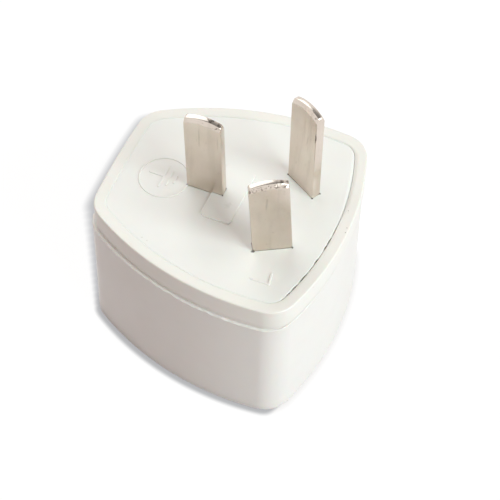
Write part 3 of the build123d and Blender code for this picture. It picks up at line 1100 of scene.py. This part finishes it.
def shadow_edge(nodes):
    """Below 0 in the painted shadow, drawn as from a large lamp in front of the body, and over 1 outside
    its soft edge.
    """
    coords = nodes.add("TexCoord").outputs["Object"]
    near = None
    for step in range(SHADOW_STEPS + 1):
        rise = step / SHADOW_STEPS
        share = BODY_TOP * rise / PAINTED_SHADOW_SOURCE.z
        scale = (1 - share) / MM
        slide = PAINTED_SHADOW_SOURCE * share - SHADOW_SHIFT
        inputs = {0: coords, 1: (scale, scale, 0), 2: (slide.x, slide.y, 0)}
        point = nodes.add("VectorMath", inputs, operation="MULTIPLY_ADD").outputs[0]
        dark = SHADOW_DARK[0] + SHADOW_DARK[1] * rise
        away = nodes.math("ADD", outline_distance(nodes, point), dark)
        away = nodes.math("DIVIDE", away, SHADOW_FADE[0] + SHADOW_FADE[1] * rise)
        near = away if near is None else nodes.math("MINIMUM", near, away)
    return near


def make_floor():
    """White floor with a painted soft shadow and painted contact shade close round the object, and a
    dimmer bounce.
    """
    nodes = Nodes(bpy.data.materials.new("floor_white"))
    path = nodes.add("LightPath").outputs
    seen = nodes.largest([path["Is Camera Ray"], path["Is Glossy Ray"], path["Is Transmission Ray"]])
    # Painted contact shade: the glow dims where ambient occlusion finds the object close
    clear = nodes.add("AmbientOcclusion", {"Distance": CONTACT_REACH * MM}, samples=16).outputs["AO"]
    contact = nodes.mix(nodes.span(clear, 0.5, 1.0), CONTACT_SHADE_TONE, WHITE)
    # Painted shadow: the floor's glow dims inside the drawn outline
    edge = {"Value": shadow_edge(nodes)}
    lit = nodes.add("MapRange", edge, interpolation_type="SMOOTHSTEP").outputs[0]
    tone = nodes.multiply(contact, nodes.mix(lit, SHADOW_TONE, WHITE))
    glow = nodes.add("Emission", {"Color": tone, "Strength": FLOOR_GLOW})
    shadow = nodes.add("BsdfDiffuse", {"Color": (*FLOOR_GREY, 1)})
    shown = nodes.add("AddShader", {0: glow.outputs[0], 1: shadow.outputs[0]})
    bounce = nodes.add("BsdfDiffuse", {"Color": (*FLOOR_BOUNCE, 1)})
    blend = nodes.add("MixShader", {0: seen, 1: bounce.outputs[0], 2: shown.outputs[0]})
    nodes.add("OutputMaterial", {"Surface": blend.outputs[0]})
    bm = bmesh.new()
    bmesh.ops.create_grid(bm, x_segments=1, y_segments=1, size=FLOOR_HALF)
    floor = finish_mesh(bm, "floor")
    paint(floor, nodes.owner)


def make_world():
    """Even soft light, and white where the camera or a reflection looks past the floor."""
    nodes = Nodes(bpy.data.worlds.new("studio"))
    path = nodes.add("LightPath").outputs
    seen = nodes.math("MAXIMUM", path["Is Camera Ray"], path["Is Glossy Ray"])
    fill = nodes.add("Background", {"Color": (*FILL_COLOUR, 1), "Strength": FILL})
    coords = nodes.add("TexCoord").outputs["Generated"]
    height = nodes.add("SeparateXYZ", {0: coords}).outputs["Z"]
    fade = nodes.span(height, *SKY_EDGE, 1.0, SKY_DARK)
    level = nodes.math("MAXIMUM", path["Is Camera Ray"], fade)
    white = nodes.add("Background", {"Color": (*WHITE, 1), "Strength": level})
    blend = nodes.add("MixShader", {0: seen, 1: fill.outputs[0], 2: white.outputs[0]})
    nodes.add("OutputWorld", {"Surface": blend.outputs[0]})
    bpy.context.scene.world = nodes.owner


def add_light(name, direction, distance, size, strength, colour):
    """Square soft lamp that faces the object from a direction."""
    lamp = bpy.data.lights.new(name, "AREA")
    lamp.shape = "SQUARE"
    lamp.size = size
    lamp.energy = strength
    lamp.color = colour
    obj = bpy.data.objects.new(name, lamp)
    bpy.context.scene.collection.objects.link(obj)
    obj.location = LAMP_TARGET + direction.normalized() * distance
    obj.rotation_mode = "QUATERNION"
    obj.rotation_quaternion = direction.to_track_quat("Z", "Y")


def make_camera():
    """Camera at the photograph's place, turn and angle of view."""
    data = bpy.data.cameras.new("camera")
    data.sensor_width = SENSOR
    data.lens = FOCAL_PIXELS / IMAGE_PIXELS * SENSOR
    data.clip_start, data.clip_end = CAMERA_CLIP
    obj = bpy.data.objects.new("camera", data)
    bpy.context.scene.collection.objects.link(obj)
    forward = (CAMERA_TARGET - CAMERA_SPOT).normalized()
    right = forward.cross(Vector((0, 0, 1))).normalized()
    up = right.cross(forward)
    roll = radians(CAMERA_ROLL)
    side = cos(roll) * right + sin(roll) * up
    top = cos(roll) * up - sin(roll) * right
    turn = Matrix((side, top, -forward)).transposed().to_4x4()
    obj.matrix_world = Matrix.Translation(CAMERA_SPOT * MM) @ turn
    bpy.context.scene.camera = obj


build_adapter()
make_floor()
make_world()
for name, settings in LAMPS.items():
    add_light(name, *settings)
make_camera()
bpy.context.scene.view_settings.view_transform = "Standard"
